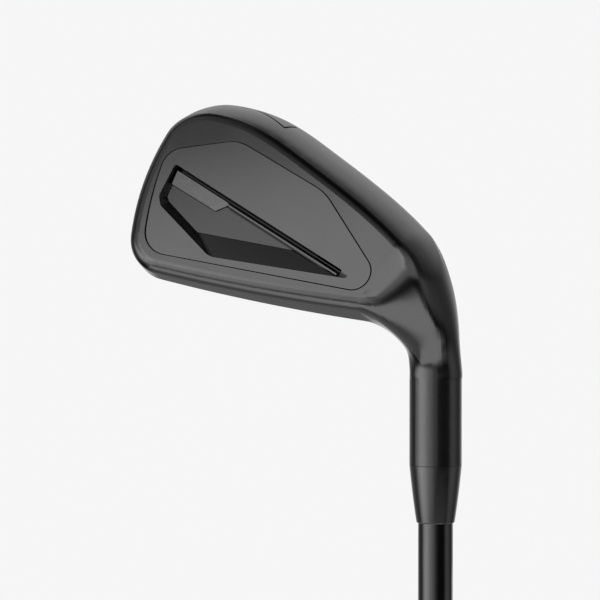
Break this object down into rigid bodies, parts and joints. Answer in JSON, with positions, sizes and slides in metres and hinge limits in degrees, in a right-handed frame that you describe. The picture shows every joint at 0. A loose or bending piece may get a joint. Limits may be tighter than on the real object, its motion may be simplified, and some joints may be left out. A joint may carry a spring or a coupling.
{
  "type": "iron golf club",
  "caption": "Right-handed hollow-head iron: black forged head with back plate, pocket, bar and badge, ferrule, stepped steel shaft, rubber grip.",
  "frame": {"origin": "centre of the grip's butt end, on the shaft axis", "axes": "+Z along the shaft from the butt to the head; +Y towards the target, so the head's back faces -Y; +X on the heel side, away from the toe"},
  "size_m": [0.0879, 0.0455, 0.9656],
  "materials": {
    "black_steel": "satin black",
    "face_steel": "satin black",
    "badge_metal": "brushed dark grey",
    "tungsten": "sintered",
    "polymer": "matte",
    "plug_plastic": "matte",
    "epoxy": "cured resin",
    "ferrule_plastic": "polished black",
    "shaft_steel": "satin black",
    "pin_metal": "plain",
    "tape": "matte",
    "grip_rubber": "matte textured"
  },
  "bodies": {
    "root": {"head_body": "black_steel", "face_plate": "face_steel", "back_plate": "black_steel", "back_bar": "black_steel", "bar_strip": "black_steel", "badge": "badge_metal", "toe_weight": "tungsten", "heel_weight": "tungsten", "polymer_core": "polymer", "hosel_plug": "plug_plastic", "hosel_epoxy": "epoxy", "ferrule": "ferrule_plastic", "shaft": "shaft_steel", "tip_weight": "pin_metal", "grip_tape": "tape", "grip": "grip_rubber", "grip_cap": "grip_rubber"}
  },
  "joints": []
}
